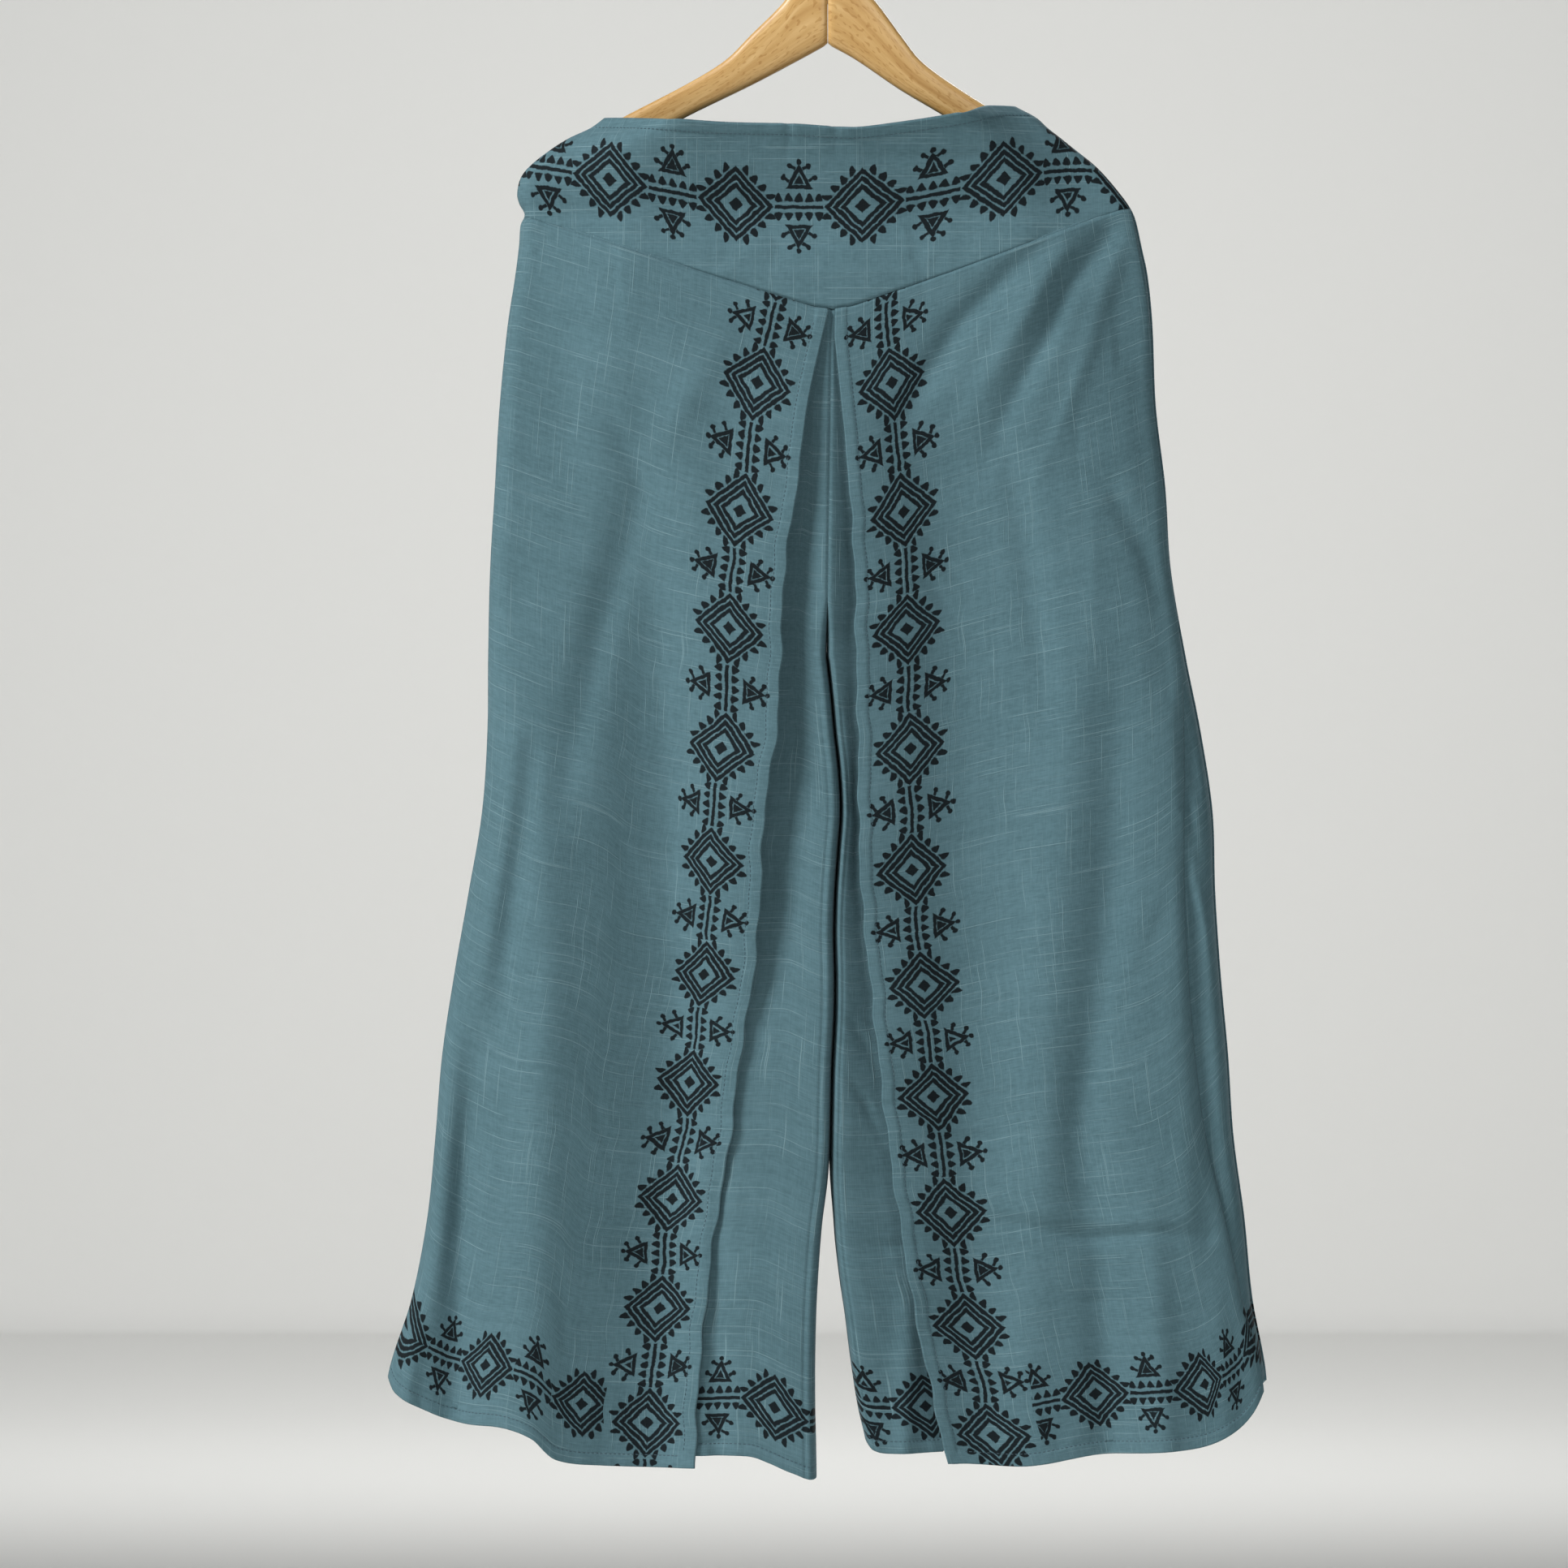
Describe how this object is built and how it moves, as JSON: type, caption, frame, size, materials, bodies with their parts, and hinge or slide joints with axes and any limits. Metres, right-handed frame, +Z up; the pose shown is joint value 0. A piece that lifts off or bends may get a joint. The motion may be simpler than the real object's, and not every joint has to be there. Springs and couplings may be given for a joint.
{
  "type": "cotton trousers on a coat hanger",
  "caption": "Wide-leg cotton trousers with a shaped yoke and a split overskirt front, hung by the waist on a wooden coat hanger.",
  "frame": {"origin": "seat of the hanger's hook, where the rail bears", "axes": "+Z up along the hanging cloth, +X to the right as seen from the front, -Y out of the front"},
  "size_m": [0.6499, 0.087, 1.1953],
  "materials": {
    "slub_cotton": "matte woven cotton with a block print",
    "pale_wood": "satin varnish",
    "steel_wire": "bright plated"
  },
  "bodies": {
    "root": {"yoke_front": "slub_cotton", "yoke_back": "slub_cotton", "overlay_left": "slub_cotton", "overlay_right": "slub_cotton", "leg_front_left": "slub_cotton", "leg_front_right": "slub_cotton", "leg_back_left": "slub_cotton", "leg_back_right": "slub_cotton", "hanger_arm_left": "pale_wood", "hanger_arm_right": "pale_wood", "hanger_hook": "steel_wire"}
  },
  "joints": []
}
